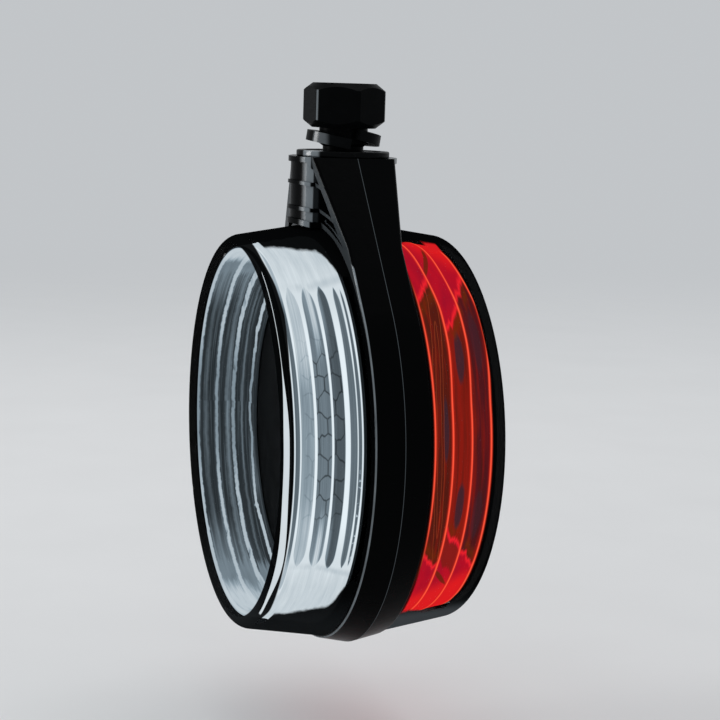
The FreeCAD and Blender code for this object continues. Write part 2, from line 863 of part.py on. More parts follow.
def nodes():
    """Every piece of the lamp by its name."""
    washer = spring_washer()
    nut_seat = washer.optimalBoundingBox(False, False).ZMax + washer_nut_gap
    pieces = {
        "front_housing": housing_half(front),
        "rear_housing": housing_half(rear),
        "housing_seal": whole(seam_seal_body(0)),
        "hollow_stud": hollow_stud(),
        "cable_grommet": cable_grommet(),
        "hex_nut": hex_nut(nut_seat),
        "spring_washer": washer,
        "driver_board": driver_board(),
        "supply_terminal": supply_terminal(),
        "driver_coil": driver_coil(),
        "driver_capacitors": driver_capacitors(),
        "driver_chips": driver_chips(),
        "housing_screws": housing_screws(),
        "led_board_screws": led_board_screws(),
        "driver_board_screws": driver_board_screws(),
    }
    for name, side, steps in (("front", front, front_guide_steps), ("rear", rear, rear_guide_steps)):
        pieces[name + "_lens"] = lens(side)
        pieces[name + "_lens_seal"] = lens_seal(side)
        pieces[name + "_light_guide"] = light_guide(steps, side)
        pieces[name + "_led_board"] = led_board(side)
        pieces[name + "_leds"] = leds(side)
        pieces[name + "_resistors"] = resistors(side)
        pieces[name + "_centre_cover"] = centre_cover(side)
        pieces[name + "_link_pins"] = link_pins(side)
    return pieces


os.makedirs("parts", exist_ok=True)
for node, shape in nodes().items():
    shape.exportStep("parts/" + node + ".step")
    print(node, "solids", len(shape.Solids), "volume", round(shape.Volume, 1), "valid", shape.isValid())
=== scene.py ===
import bmesh
import bpy
import math
from mathutils import Matrix, Vector


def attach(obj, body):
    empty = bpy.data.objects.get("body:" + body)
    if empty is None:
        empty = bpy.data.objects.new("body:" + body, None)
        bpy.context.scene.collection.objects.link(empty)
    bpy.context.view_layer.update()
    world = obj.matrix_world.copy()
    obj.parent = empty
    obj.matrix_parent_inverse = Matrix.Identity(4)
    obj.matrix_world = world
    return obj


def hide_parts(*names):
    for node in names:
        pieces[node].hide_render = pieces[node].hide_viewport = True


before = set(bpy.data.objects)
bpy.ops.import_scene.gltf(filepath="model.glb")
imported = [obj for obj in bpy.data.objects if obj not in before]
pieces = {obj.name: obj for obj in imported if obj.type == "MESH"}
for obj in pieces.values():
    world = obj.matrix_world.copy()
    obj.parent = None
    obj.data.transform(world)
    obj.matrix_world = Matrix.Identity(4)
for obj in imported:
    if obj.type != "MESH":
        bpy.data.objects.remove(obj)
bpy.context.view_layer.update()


# Housing halves: two mouldings in glossy black ABS that meet in the parting plane Y = 0.
# Each is half of the ring and half of the neck, with ribbed windows that save material,
# and six screws inside pull them together over a rubber seal.

mm = 0.001
axis_height = -69.2
lamp_centre = Vector((0, 0, axis_height * mm))


class Level:
    """A number that changes over a surface, to be used in sums like any other number."""

    def __init__(self, tree, socket):
        self.tree = tree
        self.socket = socket

    def work(self, operation, *terms):
        node = self.tree.nodes.new("ShaderNodeMath")
        node.operation = operation
        for socket, term in zip(node.inputs, terms):
            if isinstance(term, Level):
                self.tree.links.new(term.socket, socket)
            else:
                socket.default_value = term
        return Level(self.tree, node.outputs[0])

    def __add__(self, other):
        return self.work("ADD", self, other)

    def __sub__(self, other):
        return self.work("SUBTRACT", self, other)

    def __rsub__(self, other):
        return self.work("SUBTRACT", other, self)

    def __mul__(self, other):
        return self.work("MULTIPLY", self, other)

    def __truediv__(self, other):
        return self.work("DIVIDE", self, other)

    def __pow__(self, other):
        return self.work("POWER", self, other)

    def __mod__(self, other):
        return self.work("FLOORED_MODULO", self, other)

    def __abs__(self):
        return self.work("ABSOLUTE", self)

    def __neg__(self):
        return self.work("MULTIPLY", self, -1)

    __radd__ = __add__
    __rmul__ = __mul__

    def over(self, low):
        return self.work("MAXIMUM", self, low)

    def under(self, high):
        return self.work("MINIMUM", self, high)

    def ridge(self, middle, half_width):
        """One at the middle, falling evenly to nothing at half_width either side of it."""
        return (1 - abs(self - middle) / half_width).over(0)

    def swing(self, amount):
        """A level that varies about a half, made to vary about nothing by the amount."""
        return (self - 0.5) * amount

    def toward(self, other, share):
        """This level moved toward another by a share of the way."""
        return self + (other - self) * share


class Finish:
    """A node material for one of the lamp's surfaces."""

    def __init__(self, name, **plain):
        self.material = bpy.data.materials.new(name)
        self.material.use_nodes = True
        self.tree = self.material.node_tree
        self.shader = self.tree.nodes["Principled BSDF"]
        for word, value in plain.items():
            self.shader.inputs[word.replace("_", " ")].default_value = value

    def feed(self, socket, value):
        if isinstance(value, Level):
            self.tree.links.new(value.socket, socket)
        elif isinstance(value, bpy.types.NodeSocket):
            self.tree.links.new(value, socket)
        else:
            socket.default_value = value

    def node(self, kind, settings=None, values=None):
        node = self.tree.nodes.new("ShaderNode" + kind)
        for name, value in (settings or {}).items():
            setattr(node, name, value)
        for name, value in (values or {}).items():
            self.feed(node.inputs[name], value)
        return node

    def level(self, socket):
        return Level(self.tree, socket)

    def where(self, about=(0, 0, 0)):
        """x, y and z in millimetres from a point of the lamp given in metres."""
        place = self.node("TexCoord").outputs["Object"]
        moved = self.node("Mapping", {}, {"Vector": place, "Location": [-c / mm for c in about],
                                          "Scale": (1 / mm, 1 / mm, 1 / mm)})
        parts = self.node("SeparateXYZ", {}, {0: moved.outputs[0]})
        return [self.level(socket) for socket in parts.outputs]

    def facing_axis(self):
        """How squarely the surface faces along Y, from 0 to 1."""
        normal = self.node("TexCoord").outputs["Normal"]
        return abs(self.level(self.node("SeparateXYZ", {}, {0: normal}).outputs[1]))

    def point(self, x, y, z=0.0):
        return self.node("CombineXYZ", {}, {0: x, 1: y, 2: z}).outputs[0]

    def noise(self, vector, scale=1.0, detail=2.0, rough=0.5):
        """Cloudy variation from 0 to 1 about a half."""
        values = {"Vector": vector, "Scale": scale, "Detail": detail, "Roughness": rough}
        return self.level(self.node("TexNoise", {}, values).outputs[0])

    def rise(self, level, low, high):
        """Smooth step from 0 at low to 1 at high."""
        values = {"Value": level, "From Min": low, "From Max": high, "To Min": 0.0, "To Max": 1.0}
        return self.level(self.node("MapRange", {"interpolation_type": "SMOOTHSTEP"}, values).outputs[0])

    def between(self, level, low, high, soft):
        """One between low and high, with soft ends outside them."""
        return self.rise(level, low - soft, low) * (1 - self.rise(level, high, high + soft))

    def blend(self, factor, first, second):
        """Colour from first to second."""
        settings = {"data_type": "RGBA", "clamp_factor": True}
        return self.node("Mix", settings, {0: factor, 6: first, 7: second}).outputs[2]

    def layers(self, ground, *coats):
        """The ground colour with coats of (factor, colour) laid over it in turn."""
        for factor, colour in coats:
            ground = self.blend(factor, ground, colour)
        return ground

    def bright(self, colour, amount):
        """The colour made brighter or darker by the amount."""
        return self.node("VectorMath", {"operation": "SCALE"}, {0: colour, "Scale": amount}).outputs[0]

    def set(self, **values):
        for word, value in values.items():
            self.feed(self.shader.inputs[word.replace("_", " ")], value)

    def bump(self, height, distance, strength=1.0):
        values = {"Height": height, "Distance": distance, "Strength": strength}
        self.set(Normal=self.node("Bump", {}, values).outputs[0])

    def cover(self, *objects):
        for piece in objects:
            piece.data.materials.clear()
            piece.data.materials.append(self.material)


def grey(value, tint=(1.0, 1.0, 1.0)):
    return (value * tint[0], value * tint[1], value * tint[2], 1.0)


def from_axis(first, second):
    """Distance from an axis, from the distances along two directions across it."""
    return (first * first + second * second) ** 0.5


cool = (0.84, 0.96, 1.04)

# where the housing's painted highlights lie, on the column pane, the window frames and the ring's
# front edge: each pair is where a soft edge starts and where it is full, in millimetres
# but for frame_facing, which is a share
column_side, column_reach, column_foot = (8.4, 8.6), (13.5, 13.7), (-26, -24)
pane_start, pane_end, pane_reach = (4.6, 6.6), (7.9, 8.3), (11.5, 12.0)
frame_facing, frame_foot = (0.80, 0.95), (-42, -34)
ring_edge_radii, ring_edge_depths = (51.1, 53.2), (6.38, 6.62)
seam_half_width = 0.10

moulded = Finish("moulded_black", Specular_IOR_Level=0.012, Coat_Roughness=0.09)
x, y, z = moulded.where(lamp_centre)
height = z + axis_height
depth = abs(y)
radius = from_axis(x, z)
from_stud = from_axis(x, y)
cloud = moulded.noise(moulded.point(x, y, z), 0.14, 3)
specks = moulded.rise(moulded.noise(moulded.point(x, y, z), 2.2, 1), 0.78, 0.84)
# the parting seam: rougher, with a painted highlight along it
seam_and_highlight = depth.ridge(0, seam_half_width)
column = (1 - moulded.rise(abs(x), *column_side)) * (1 - moulded.rise(from_stud, *column_reach)) \
    * moulded.rise(height, *column_foot)
# painted highlight on a pane of the neck's column
pane_highlight = column * moulded.rise(x, *pane_start) * (1 - moulded.rise(x, *pane_end)) \
    * moulded.rise(from_stud, *pane_reach)
# painted highlight on the window frames' faces that face along Y
frame_highlight = moulded.rise(moulded.facing_axis(), *frame_facing) * moulded.rise(height, *frame_foot) \
    * (1 - column)
# painted highlight along the rounded front edge of the ring
ring_edge_highlight = moulded.between(radius, *ring_edge_radii, 0.2) \
    * moulded.between(depth, *ring_edge_depths, 0.12) * moulded.rise(-y, 0, 1)
# base colour: real specks of dust, and painted highlights on the seam, ring edge, frames and pane
specks_and_highlights = seam_and_highlight * 0.42 + specks * 0.03 + ring_edge_highlight * (cloud * 0.9 + 0.2) + frame_highlight * 0.16 + pane_highlight * 0.62
moulded.set(
    Base_Color=moulded.blend(specks_and_highlights.under(1), grey(0.0016, cool), grey(0.30, cool)),
    Roughness=cloud * 0.12 + seam_and_highlight * 0.3 + 0.2,
    Coat_Weight=(frame_highlight * 0.18 + pane_highlight * 0.38 + column * 0.012 + ring_edge_highlight * 0.5).under(1))
moulded.bump(moulded.noise(moulded.point(x, y, z), 0.55, 2), 0.00003)
moulded.cover(pieces["front_housing"], pieces["rear_housing"])


# Rubber parts: the seal between the halves, the two seals under the lens skirts and the bush
# in the stud's lower end. All are moulded in black silicone and are held by being squeezed.

rubber = Finish("black_rubber", Specular_IOR_Level=0.3)
x, y, z = rubber.where(lamp_centre)
bloom = rubber.noise(rubber.point(x, y, z), 0.5, 4)
rubber.set(Base_Color=rubber.blend(bloom, grey(0.012), grey(0.03)), Roughness=bloom * 0.2 + 0.6)
rubber.bump(rubber.noise(rubber.point(x, y, z), 3.0, 2), 0.00003)
rubber.cover(pieces["housing_seal"], pieces["front_lens_seal"], pieces["rear_lens_seal"],
             pieces["cable_grommet"])


# Hollow stud: turned from steel bar and blackened, with a rolled M12 thread, a round flange that
# seats on the bracket and a hexagon that the neck halves grip. The cable runs up through it.

flange_start, flange_gleam, flange_front = (9.0, 9.4), (3.4, 7.2), (6.5, 7.5)

blackened = Finish("blackened_steel", Specular_IOR_Level=0.015, Coat_Roughness=0.12)
x, y, z = blackened.where()
turning = blackened.noise(blackened.point(x * 0.4, y * 0.4, z * 3.0), 1.0, 3)
worn = blackened.rise(blackened.noise(blackened.point(x, y, z), 0.9, 4), 0.60, 0.74)
flange = blackened.rise(from_axis(x, y), *flange_start)
# painted highlight on the front of the flange
flange_highlight = flange * blackened.between(x, *flange_gleam, 0.8) * blackened.rise(-y, *flange_front)
blackened.set(
    Base_Color=blackened.blend((worn * 0.03 + flange_highlight * 0.8).under(1), grey(0.002, cool), grey(0.26, cool)),
    Roughness=turning * 0.2 + 0.26,
    Coat_Weight=(flange_highlight + flange * 0.05).under(1))
blackened.bump(turning, 0.00003)
blackened.cover(pieces["hollow_stud"])


# Hexagon nut: cut from hexagon bar, chamfered round its corners at both ends and blackened.
# It clamps the bracket against the stud's flange.

corner_start, corner_front = (10.04, 10.07), (5.0, 7.0)
corner_line, corner_line_half_width = 5.4, 0.42

nut_black = Finish("nut_black", Specular_IOR_Level=0.015, Coat_Roughness=0.1)
x, y, z = nut_black.where()
scratches = nut_black.noise(nut_black.point(x * 0.2, y * 0.2, z * 4.0), 1.2, 4, 0.6)
mottle = nut_black.noise(nut_black.point(x, y, z), 0.35, 3)
# painted highlight on the nut's front corner
corner_highlight = nut_black.rise(from_axis(x, y), *corner_start) * nut_black.rise(-y, *corner_front) \
    * nut_black.rise(x.ridge(corner_line, corner_line_half_width), 0.2, 0.6)
nut_black.set(
    Base_Color=nut_black.blend((mottle * 0.01 + corner_highlight * 0.8).under(1), grey(0.0016, cool), grey(0.16, cool)),
    Roughness=scratches * 0.22 + mottle * 0.1 + 0.2,
    Coat_Weight=corner_highlight * 0.9)
nut_black.bump(scratches, 0.00002)
nut_black.cover(pieces["hex_nut"])


# Spring washer: one turn of square steel wire with a split, blackened like the nut. It keeps the
# nut from working loose.

washer_gleam, washer_front = (3.4, 7.0), (5.5, 6.8)

wire_black = Finish("washer_black", Specular_IOR_Level=0.02, Coat_Roughness=0.15)
x, y, z = wire_black.where()
drawn = wire_black.noise(wire_black.point(x, y, z), 0.8, 3)
# painted highlight on the front of the washer
washer_highlight = wire_black.between(x, *washer_gleam, 0.8) * wire_black.rise(-y, *washer_front)
wire_black.set(
    Base_Color=wire_black.blend((drawn * 0.02 + washer_highlight * 0.5).under(1), grey(0.002, cool), grey(0.16, cool)),
    Roughness=drawn * 0.2 + 0.24,
    Coat_Weight=washer_highlight * (drawn * 0.5 + 0.5))
wire_black.bump(drawn, 0.00003)
wire_black.cover(pieces["spring_washer"])


# Light guides: clear acrylic rings that stand on the lamp boards and carry the light round.
# Their bores step inwards from the face to the board, and a bright line of light leaves at each
# step and at the fine ribs on the outside. The front one is lit white and the rear one red.

guide_bores = (44.2, 43.2, 41.7, 37.7)
guide_lip_bore, guide_lip_depths = 36.7, (10.45, 11.5)
guide_foot, guide_end = 7.45, 24.85
guide_foot_radius, guide_end_radius = 48.0, 45.44
guide_lean = (guide_foot_radius - guide_end_radius) / (guide_end - guide_foot)
rib_flat = 0.4
ring_segments, ring_edge_round = 240, 0.12
sharp_bend, hard_bend = math.radians(25), math.radians(50)


def mesh_object(name, form):
    """A new object in the scene that has the form as its mesh."""
    mesh = bpy.data.meshes.new(name)
    form.to_mesh(mesh)
    form.free()
    piece = bpy.data.objects.new(name, mesh)
    bpy.context.scene.collection.objects.link(piece)
    return piece


def turned_ring(name, side, outline):
    """A ring turned about the lamp axis from a closed outline of (radius, depth) in millimetres."""
    form = bmesh.new()
    corners = [form.verts.new((radius * mm, side * depth * mm, lamp_centre.z)) for radius, depth in outline]
    edges = [form.edges.new(pair) for pair in zip(corners, corners[1:] + corners[:1])]
    bmesh.ops.spin(form, geom=corners + edges, cent=lamp_centre, axis=(0, 1, 0), angle=2 * math.pi,
                   steps=ring_segments, use_merge=True, use_duplicate=False, dvec=(0, 0, 0))
    bmesh.ops.remove_doubles(form, verts=form.verts, dist=1e-7)
    bmesh.ops.recalc_face_normals(form, faces=form.faces)
    sharp = [edge for edge in form.edges if edge.calc_face_angle(0) > sharp_bend]
    bmesh.ops.bevel(form, geom=sharp, offset=ring_edge_round * mm, offset_type="OFFSET", affect="EDGES",
                    segments=2, profile=0.5, material=-1)
    ring = mesh_object(name, form)
    ring.data.shade_smooth()
    ring.data.set_sharp_from_angle(angle=hard_bend)
    return ring


def guide_outline(steps, ribs, rib_width, rib_height):
    """Outline of a light guide: stepped bore, lip over the cover, and ribs on the outside."""
    inside = [(guide_bores[0], guide_end)]
    for depth, wide, narrow in zip(steps, guide_bores, guide_bores[1:]):
        inside += [(wide, depth), (narrow, depth)]
    low, high = guide_lip_depths
    inside += [(guide_bores[2], high), (guide_lip_bore, high), (guide_lip_bore, low), (guide_bores[3], low),
               (guide_bores[3], guide_foot)]
    outside = [(guide_foot_radius, guide_foot)]
    for depth in sorted(ribs):
        radius = guide_foot_radius - guide_lean * (depth - guide_foot)
        outside += [(radius, depth - rib_width), (radius + rib_height, depth - rib_width * rib_flat),
                    (radius + rib_height, depth + rib_width * rib_flat), (radius, depth + rib_width)]
    return inside + outside + [(guide_end_radius, guide_end)]


def ring_place(finish):
    """Height, radius and depth in millimetres, the angle about the axis, and one on a guide's outside."""
    x, y, z = finish.where(lamp_centre)
    radius = from_axis(x, z)
    depth = abs(y)
    angle = z.work("ARCTAN2", z, x)
    outer = finish.rise(radius - (guide_foot_radius - (depth - guide_foot) * guide_lean), -0.6, -0.3)
    return z, radius, depth, angle, outer


def ring_noise(finish, angle, depth, per_radian, per_mm, seed=0.0, detail=2.0, rough=0.5):
    """Cloudy variation over a ring, with a count of waves for each radian and each millimetre."""
    return finish.noise(finish.point(angle * per_radian, depth * per_mm, seed), 1.0, detail, rough)


def hexagons(finish, across, along):
    """Nothing inside cells one unit wide, rising to one at the thin walls between them."""
    nearest = None
    for shift in (0.0, 0.5):
        first = abs((across + shift) % 1.0 - 0.5)
        second = abs((along + shift * math.sqrt(3)) % math.sqrt(3) - math.sqrt(3) / 2)
        cell = first.over(first * 0.5 + second * (math.sqrt(3) / 2))
        nearest = cell if nearest is None else nearest.under(cell)
    return finish.rise(nearest, 0.44, 0.49)


def bands(level, places, soft, spread=0.0):
    """One on bands given by their middles and half-widths, each widened by spread."""
    total = None
    for middle, half in places:
        band = ((half + soft / 2 + spread - abs(level - middle)) / soft).over(0).under(1)
        total = band if total is None else total.over(band)
    return total


front_steps = (19.9, 15.6)
front_ribs = (18.9, 15.1, 11.7, 9.5)
front_guide = turned_ring("front_glow_ring", -1, guide_outline(front_steps, front_ribs, 0.5, 0.22))
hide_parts("front_light_guide")
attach(front_guide, "lamp")

# the white light's lines as (depth, half-width), and its other places, all in millimetres
wall_lines = ((23.66, 0.17), (22.3, 0.15), (18.9, 0.32), (15.1, 0.26), (11.7, 0.60), (9.5, 0.12),
              (8.35, 0.16))
wall_bands = ((22.4, 23.6), (18.9, 22.3), (15.2, 18.8), (12.4, 15.0), (9.6, 11.1), (8.2, 9.4))
wall_middle, wall_line_reach, wall_line_taper = 6.8, 31.9, 6.0
wall_radius, cell_width, cell_length = 46.5, 3.6, 5.3
step_lines = ((24.75, 0.36), (19.85, 0.28), (15.5, 0.26))
bore_middle, lip_line_radius, lip_face = -1.0, 39.4, (11.2, 11.7)

glow = Finish("white_glow", Specular_IOR_Level=0.0, Roughness=0.2, Emission_Strength=1.0)
z, radius, depth, angle, outer = ring_place(glow)
ripple = ring_noise(glow, angle, depth, 6.0, 0.12, 0.0, 3, 0.6)
jitter = ring_noise(glow, angle, depth, 26.0, 0.3, 0.0, 2, 0.6)
streaks = ring_noise(glow, angle, depth, 1.4, 1.7, 0.0, 3, 0.55)
hairs = ring_noise(glow, angle, depth, 1.1, 7.0)
slow = ring_noise(glow, angle, depth, 2.2, 0.35, 5.0)
sweep = ring_noise(glow, angle, depth, 3.0, 0.8, 2.0, 3, 0.6)
grit = ring_noise(glow, angle, depth, 75.0, 0.6, 0.0, 1)
drops = glow.rise(ring_noise(glow, angle, depth, 55.0, 1.5, 0.0, 1), 0.58, 0.66)

# what shows through the side wall: grey bands between the lines, a faint honeycomb in two of
# them, and a pale curtain that closes over the lines' ends above and below
up = z - wall_middle
height = abs(up)
tip = (17.0 - depth).over(0) * 0.25 + ripple.swing(1.4) + glow.rise(depth, 22.3, 22.5) * 9.0 + wall_line_reach
closing = ((height - tip + wall_line_taper) / wall_line_taper).over(0).under(1.2)
spread = glow.rise(height, 10.0, 30.0) * 0.16 + closing ** 3.0 * 1.65
side_lines = bands(depth, wall_lines, 0.2, spread)
rim_band, inner_band, first_cells, second_cells, foot_band, skirt_band = [
    glow.between(depth, low, high, 0.1) for low, high in wall_bands]
tongue = glow.between(depth, 16.35, 17.05, 0.4) * glow.rise(height, 15.0, 25.0)
inner_level = 0.33 + glow.rise(up, 8.0, 20.0) * 0.24 + glow.rise(-up, 10.0, 24.0) * 0.16 + slow.swing(0.3)
wall_level = inner_band * inner_level \
    + first_cells * (0.19 + tongue * 0.36 + glow.rise(height, 20.0, 30.0) * 0.07) \
    + second_cells * (0.085 + glow.rise(depth, 13.7, 14.5) * (glow.rise(height, 15.0, 28.0) * 0.16 + 0.02)) \
    + foot_band * 0.15 \
    + rim_band * (0.13 + glow.rise(height, 26.0, 33.0) * 0.36) \
    + skirt_band * 0.12
wall_level = wall_level * (streaks * 0.8 + 0.6) * (0.6 + hairs * 0.8)
cells = hexagons(glow, depth / cell_width + slow.swing(0.5),
                 angle * wall_radius / cell_length + slow.swing(0.9))
cell_zone = first_cells.over(second_cells) + glow.between(depth, 18.9, 21.0, 0.5) * 0.3
cell_fade = (1 - glow.rise(height, 15.0, 24.0)) * (ripple * 0.8 + 0.5).under(1)
wall_level = wall_level * (1 - cells * cell_zone * cell_fade * 0.80)
wall_level = wall_level + drops * depth.ridge(8.8, 0.45) * glow.rise(-z, -2.0, 6.0) * 0.6
curtain = glow.rise(height - tip + hairs.swing(0.8), -2.0, 0.8)
veil = 0.46 + sweep * 0.38 + hairs.swing(0.16) + height.ridge(32.5, 5.0) * 0.08
wall_level = wall_level.toward(veil, curtain)
line_level = 0.94 - glow.rise(height, 18.0, 31.0) * 0.16
side_level = wall_level.toward(line_level, side_lines * (1 - curtain * 0.85))
side_end = glow.rise(depth - glow.rise(height, 28.0, 34.0) * 0.9, 23.9, 24.05)
side_level = side_level * glow.rise(depth, 8.03, 8.15) * (1 - side_end) + 0.012

# what shows through the face, on the stepped bore: dim streaks and wavering lines between a haze
# and a pale cap above and below
tall = abs(z - bore_middle)
haze = glow.rise(tall + streaks.swing(7.0), 36.6, 38.4)
cap = glow.rise(tall + sweep.swing(4.0) + (hairs - 0.5), 40.4, 43.0)
bent = depth + ripple.swing(0.8) + jitter.swing(0.5) + grit.swing(0.12)
lit = 0.30 + glow.rise(tall, 8.0, 24.0) * 0.25
bore_lines = bands(bent, step_lines, 0.3)
lip_bend = glow.noise(glow.point(angle * 3.0, 4.0), 1.0, 2, 0.55)
lip_shift = lip_bend.swing(7.0) + jitter.swing(1.6) + grit.swing(0.4)
lip_line = bands(radius + lip_shift, ((lip_line_radius, 1.1),), 0.5) * glow.between(depth, *lip_face, 0.1)
bore_level = 0.024 + glow.rise(streaks, 0.42, 0.72) ** 1.5 * 0.075 + glow.rise(hairs, 0.5, 0.8) * 0.04
bore_level = bore_level + bent.ridge(16.9, 0.9) * (0.05 + slow * 0.20) + bent.ridge(22.6, 0.8) * slow * 0.13 \
    + bent.ridge(13.3, 0.5) * slow * 0.16
bore_level = bore_level + glow.rise(tall, 26.0, 39.0) * (0.05 + streaks * 0.18) * glow.rise(depth, 12.0, 22.0)
bore_level = bore_level.toward(0.13 + slow * 0.20, haze * 0.9)
bore_level = bore_level.toward(0.56 + sweep * 0.12, cap)
bore_level = bore_level.toward(lit + cap * 0.1, bore_lines.over(lip_line))
bore_level = bore_level * glow.rise(depth, 10.2, 10.9)

amount = bore_level.toward(side_level, outer)
tone = glow.blend(glow.rise(amount, 0.2, 0.8), (0.77, 1.0, 1.17, 1), (0.90, 1.0, 1.06, 1))
glow.set(Base_Color=glow.blend(hairs, grey(0.008, cool), grey(0.02, cool)),
         Emission_Color=glow.bright(tone, amount))
glow.cover(front_guide)

rear_steps = (18.5, 13.7)
rear_ribs = (18.5, 13.6, 9.0)
rear_guide = turned_ring("rear_glow_ring", 1, guide_outline(rear_steps, rear_ribs, 0.42, 0.2))
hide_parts("rear_light_guide")
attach(rear_guide, "lamp")

# the red light's lines as (depth, half-width), and its other places, all in millimetres
red_wall_lines = ((23.65, 0.2), (18.6, 0.2), (13.65, 0.2), (9.0, 0.2))
red_wall_bands = ((9.1, 13.5), (13.6, 18.5), (18.6, 23.6))
red_band_middles = (11.3, 16.0, 21.0)
red_wall_ends = (8.6, 24.0)
red_step_lines = ((24.7, 0.30), (18.4, 0.20), (13.6, 0.18))
red_wall_middle, red_edge_height = 6.5, 31.0
loop_sizes = ((0.6, 25.0), (1.25, 37.0))

ruby = Finish("red_glow", Specular_IOR_Level=0.0, Roughness=0.2, Emission_Strength=1.0)
z, radius, depth, angle, outer = ring_place(ruby)
ripple = ring_noise(ruby, angle, depth, 6.0, 0.5)
streaks = ring_noise(ruby, angle, depth, 2.2, 0.8)
clouds = ring_noise(ruby, angle, depth, 4.0, 0.35, 8.0)

# the wall's three bands, each split by a ragged edge into a bright part near the top and bottom
# and a deep part along the middle
up = z - red_wall_middle
height = abs(up)
swell = ruby.rise(z, 12.0, 28.0) * (1 - ruby.rise(z, 33.0, 43.0))
depth = depth - ((depth - 9.0) * 0.2).over(0).under(1) * swell * 0.95
grain = ring_noise(ruby, angle, depth, 1.2, 1.3, 4.0)
first_band, second_band, third_band = [ruby.between(depth, low, high, 0.1) for low, high in red_wall_bands]
first_middle, second_middle, third_middle = red_band_middles
middle = first_band * first_middle + second_band * second_middle + third_band * third_middle
wave = ruby.noise(ruby.point(depth * 0.42, ruby.rise(up, -1.0, 1.0) * 9.0), 1.0, 3, 0.55)
edge = height - red_edge_height + second_band * 6.2 - (depth - middle) + wave.swing(9.0)
crimson = ruby.rise(edge, -0.5, 0.5)
jag = edge.ridge(0.3, 1.1)
rust = edge.ridge(-2.0, 2.4) * ruby.rise(clouds, 0.35, 0.55)
amber = second_band * ruby.between(edge, 1.8, 7.5, 1.2) * ruby.rise(-up, 0.0, 1.0)
hot = ruby.rise(height + depth * 0.5, 44.0, 50.0)


def spot(across, along, half_width, half_length):
    """A ragged oval spot on the rear guide's wall, from 0 to 1."""
    oval = ((depth - across) / half_width) ** 2.0 + (along / half_length) ** 2.0
    return 1 - ruby.rise(oval + clouds.swing(1.4), 0.55, 1.15)


slate = (spot(16.3, height - 17.0, 1.15, 6.0) * second_band) \
    .over(spot(11.9, up - 1.0, 0.75, 7.5) * first_band) \
    .over(spot(21.2, height - 20.0, 1.3, 7.0) * third_band * 0.6)
brown = spot(15.8 + (height - 36.4) * 0.9, height - 36.4, 0.8, 2.6) * second_band
deep = ruby.layers(
    (0.080, 0.011, 0.006, 1),
    (second_band, (0.24, 0.011, 0.006, 1)),
    (third_band, (0.078, 0.0085, 0.012, 1)),
    (ruby.rise(grain, 0.45, 0.7) * 0.7, (0.055, 0.010, 0.006, 1)),
    (ruby.rise(streaks, 0.42, 0.75) * 0.6, (0.28, 0.010, 0.004, 1)),
    (slate * 0.9, (0.032, 0.018, 0.027, 1)),
    (rust * 0.7, (0.15, 0.024, 0.003, 1)))
lean = depth - 10.1 - height * height * 0.0026 + ripple.swing(0.4)
for half, reach in loop_sizes:
    bulge = (1 - (height / reach) ** 2.0).over(0) ** 0.5 * half
    hair_line = abs(lean).ridge(bulge, 0.08) * (1 - ruby.rise(height, reach - 0.5, reach + 0.2))
    deep = ruby.blend(hair_line * first_band * 0.7, deep, (0.42, 0.07, 0.02, 1))
high = ruby.layers(
    ruby.blend(clouds, (0.26, 0.004, 0.024, 1), (0.62, 0.006, 0.016, 1)),
    (hot * 0.7, (0.90, 0.016, 0.014, 1)),
    (brown * 0.85, (0.12, 0.018, 0.004, 1)),
    (amber * 0.8, (0.19, 0.013, 0.007, 1)))
halo = bands(depth, red_wall_lines, 0.9)
body = ruby.layers(
    deep,
    (crimson, high),
    (jag, (0.88, 0.017, 0.028, 1)),
    (halo * 0.85, (0.62, 0.014, 0.006, 1)),
    (bands(depth, red_wall_lines, 0.3), (1.15, 0.105, 0.050, 1)))
body = ruby.blend(ruby.between(depth, *red_wall_ends, 0.2), (0.004, 0.001, 0.001, 1), body)

# what shows through the face, on the stepped bore
loops = ruby.blend(streaks, (0.06, 0.003, 0.004, 1), (0.40, 0.012, 0.008, 1))
bore_red = bands(depth + ripple.swing(0.8), red_step_lines, 0.25)
lip_red = bands(radius + ripple.swing(5.0), ((lip_line_radius, 0.8),), 0.5) \
    * ruby.between(depth, *lip_face, 0.1)
inside = ruby.blend(bore_red.over(lip_red), loops, (0.95, 0.05, 0.018, 1))

ruby.set(Base_Color=ruby.blend(streaks, (0.02, 0.002, 0.002, 1), (0.035, 0.003, 0.003, 1)),
         Emission_Color=ruby.blend(outer, inside, body))
ruby.cover(rear_guide)


# Lens cups: clear polycarbonate with a flat face and a drafted wall, lightly smoked. A skirt on
# the wall's foot is glued into the groove round the housing's board recess. Seen along its wall a
# cup is painted black, as a dark reflection, and light from the guide leaves at the round of its rim.

lens_foot, lens_foot_radius, lens_draft = 6.8, 50.0, 0.15
lens_bore, rim_inside = (47.2, 47.4), (45.2, 45.5)
round_radius, round_depth = 45.3, 24.1

smoked = Finish("smoked_clear", Specular_IOR_Level=0.0, Roughness=0.06, Emission_Strength=1.0)
x, y, z = smoked.where(lamp_centre)
depth = abs(y)
radius = from_axis(x, z)
turn = z.work("ARCTAN2", z, x) * (180 / math.pi)
below = -turn
rear_side = smoked.rise(y, -1.0, 1.0)
haze = smoked.noise(smoked.point(x, depth, z), 0.12, 3)
ragged = smoked.noise(smoked.point(depth * 0.4, turn * 0.25, rear_side * 7.0), 1.0, 3, 0.6)
dust = smoked.rise(smoked.noise(smoked.point(x, depth, z), 1.6, 1), 0.80, 0.86)

